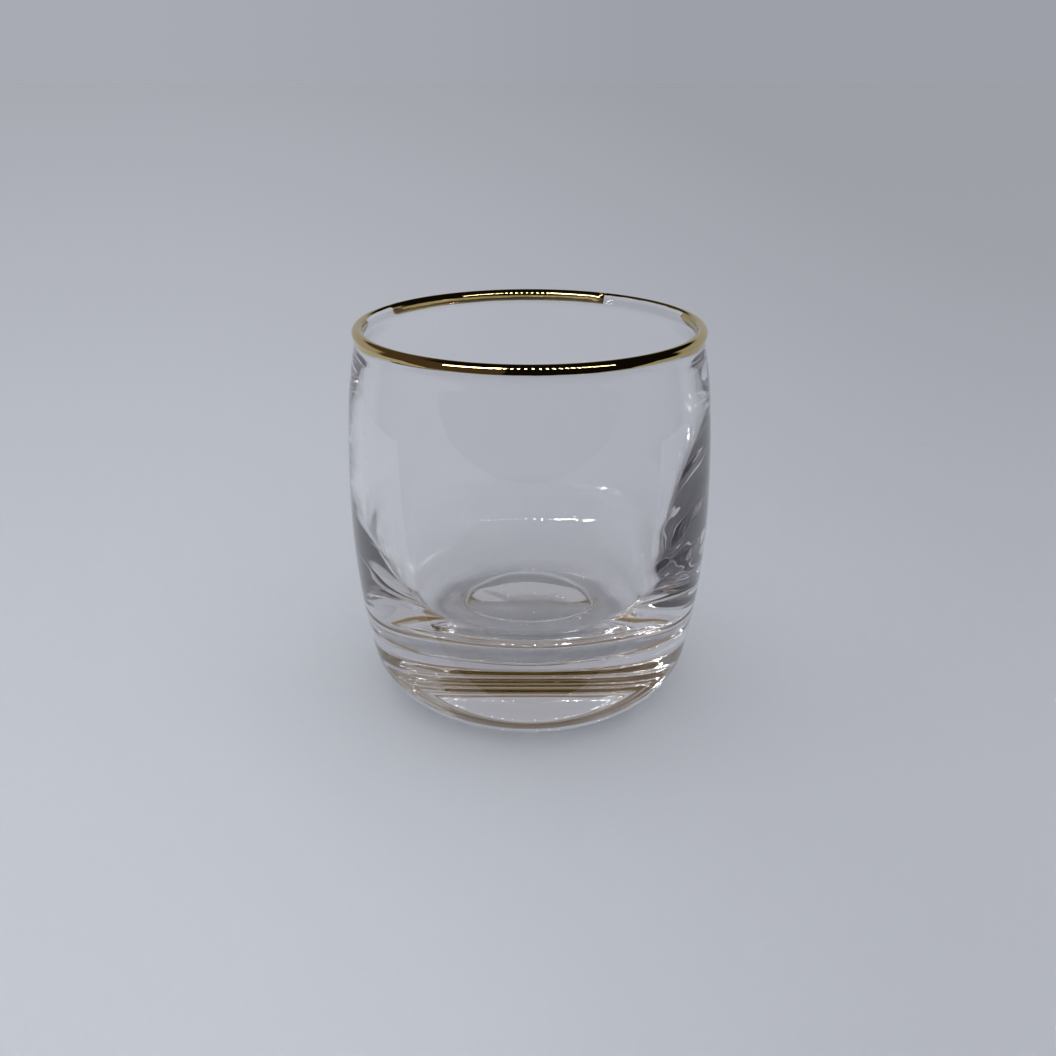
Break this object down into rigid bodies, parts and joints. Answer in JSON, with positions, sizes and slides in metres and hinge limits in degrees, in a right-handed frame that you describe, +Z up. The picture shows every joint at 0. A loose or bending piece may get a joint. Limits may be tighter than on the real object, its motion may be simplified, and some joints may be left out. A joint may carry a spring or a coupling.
{
  "type": "shot glass",
  "caption": "Small barrel-shaped glass for one measure of spirit, with a heavy solid base and a rolled lip coated in gold film.",
  "frame": {"origin": "centre of the foot ring, on the surface the glass stands on", "axes": "+Z up along the axis of revolution, from the foot to the lip; X and Y are interchangeable"},
  "size_m": [0.0512, 0.0512, 0.054],
  "materials": {
    "clear_glass": "clear, fire-polished",
    "bright_gold": "bright fired-on gold film"
  },
  "bodies": {
    "root": {"glass_body": "clear_glass", "gold_rim_band": "bright_gold"}
  },
  "joints": []
}
